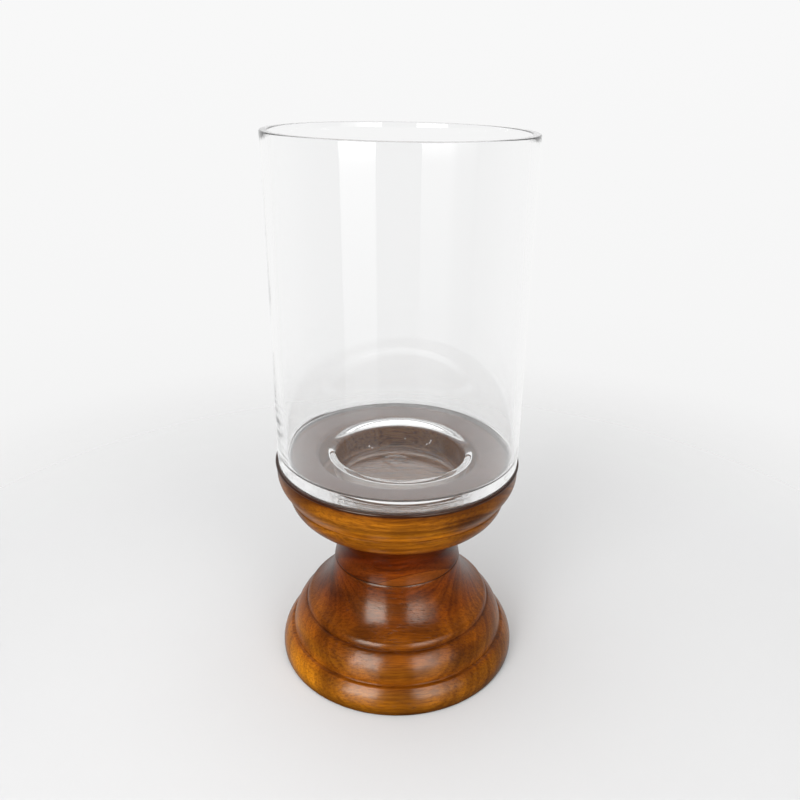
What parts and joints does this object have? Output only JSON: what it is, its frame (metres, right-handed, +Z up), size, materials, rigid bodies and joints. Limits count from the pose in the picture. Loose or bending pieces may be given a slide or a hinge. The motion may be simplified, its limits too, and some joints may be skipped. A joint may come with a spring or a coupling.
{
  "type": "hurricane candle holder",
  "caption": "Free-standing candle holder: a clear glass cylinder with a sunken candle well, standing in a socket in the top of a turned wooden pedestal.",
  "frame": {"origin": "centre of the foot, on the table", "axes": "+Z up along the turning axis, front towards -Y, +X to the right seen from the front"},
  "size_m": [0.1562, 0.1562, 0.3348],
  "materials": {
    "wood": "glossy golden-brown lacquer, darker in the grooves",
    "dowel_wood": "bare beech",
    "felt": "matt felt",
    "clear_glass": "clear, polished"
  },
  "bodies": {
    "pedestal": {"wood_base": "wood", "wood_cup": "wood", "centre_dowel": "dowel_wood", "felt_pads": "felt"},
    "glass": {"glass_hurricane": "clear_glass"}
  },
  "joints": [
    {"name": "glass_lift", "type": "slide", "parent": "pedestal", "child": "glass", "axis": [0, 0, 1], "range_m": [0, 0.08]}
  ]
}
